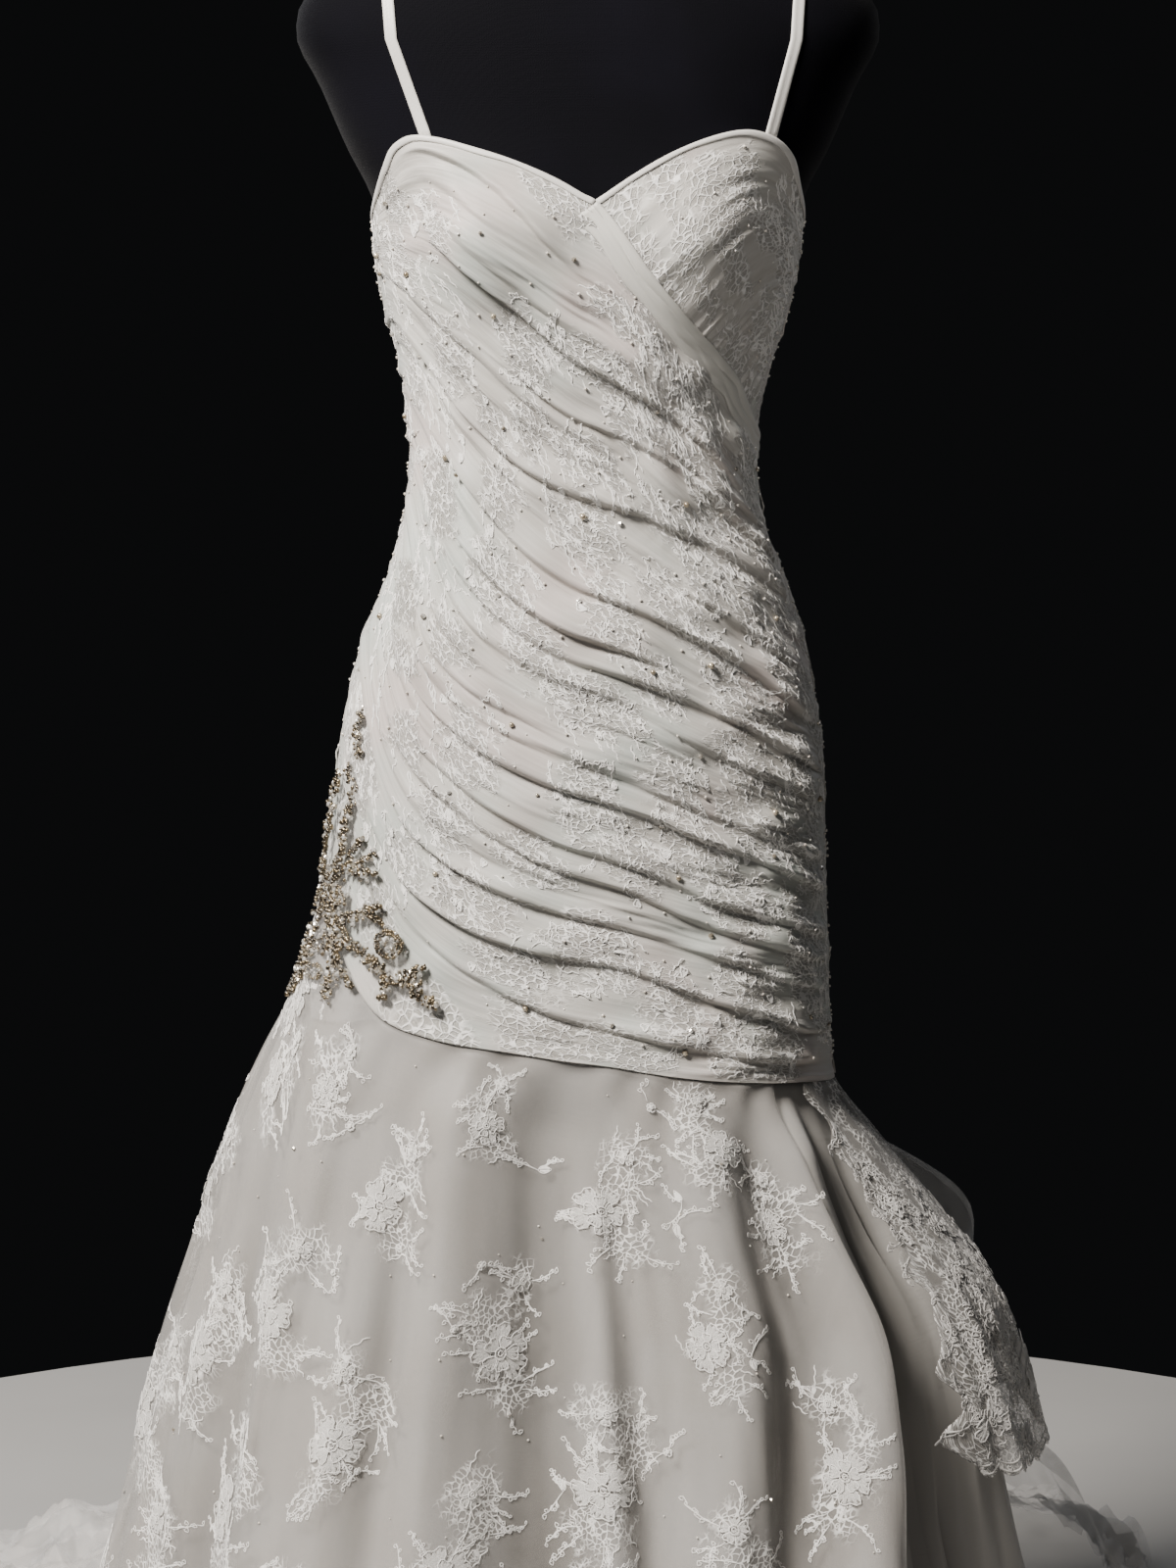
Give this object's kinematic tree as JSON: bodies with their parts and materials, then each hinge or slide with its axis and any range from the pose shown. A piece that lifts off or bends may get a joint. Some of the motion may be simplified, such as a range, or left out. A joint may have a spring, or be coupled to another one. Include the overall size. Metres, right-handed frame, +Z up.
{
  "type": "mermaid evening dress on a dress form",
  "caption": "Floor-length mermaid gown with ruched wrap bodice, thin straps, lace skirt and tulle train, worn by a limbless dress form on a pole stand.",
  "frame": {"origin": "on the floor, at the middle of the underside of the stand's round base", "axes": "+Z up along the pole; the dress faces -Y and its train lies towards +Y; +X is the wearer's left"},
  "size_m": [1.1128, 1.2761, 1.5123],
  "materials": {
    "ruched_lace": "ivory lace over chiffon, gathered in soft folds, with a few small beads",
    "lace": "ivory corded flower lace on fine net",
    "underskirt_satin": "ivory satin under soft tulle",
    "tulle": "sheer ivory tulle net",
    "trim_satin": "ivory satin binding, straps and covered buttons",
    "beads": "champagne metal beads, seed beads and clear crystals on net",
    "form_cover": "black jersey stretched over padding",
    "stand_metal": "satin black enamel"
  },
  "bodies": {
    "root": {"front_wrap_panel": "ruched_lace", "left_cup": "ruched_lace", "back_left_panel": "ruched_lace", "back_right_panel": "ruched_lace", "lace_skirt_front": "lace", "lace_overlay_left": "lace", "underskirt_front": "underskirt_satin", "underskirt_back_left": "underskirt_satin", "underskirt_back_right": "underskirt_satin", "tulle_train_left": "tulle", "tulle_train_right": "tulle", "neck_band_right": "trim_satin", "neck_band_left": "trim_satin", "wrap_edge_band": "trim_satin", "strap_right": "trim_satin", "strap_left": "trim_satin", "back_placket": "trim_satin", "back_button_01": "trim_satin", "back_button_02": "trim_satin", "back_button_03": "trim_satin", "back_button_04": "trim_satin", "back_button_05": "trim_satin", "back_button_06": "trim_satin", "back_button_07": "trim_satin", "back_button_08": "trim_satin", "back_button_09": "trim_satin", "back_button_10": "trim_satin", "back_button_11": "trim_satin", "back_button_12": "trim_satin", "beaded_applique": "beads", "form_torso": "form_cover", "form_neck_cap": "stand_metal", "form_pole": "stand_metal", "form_base": "stand_metal"}
  },
  "joints": []
}
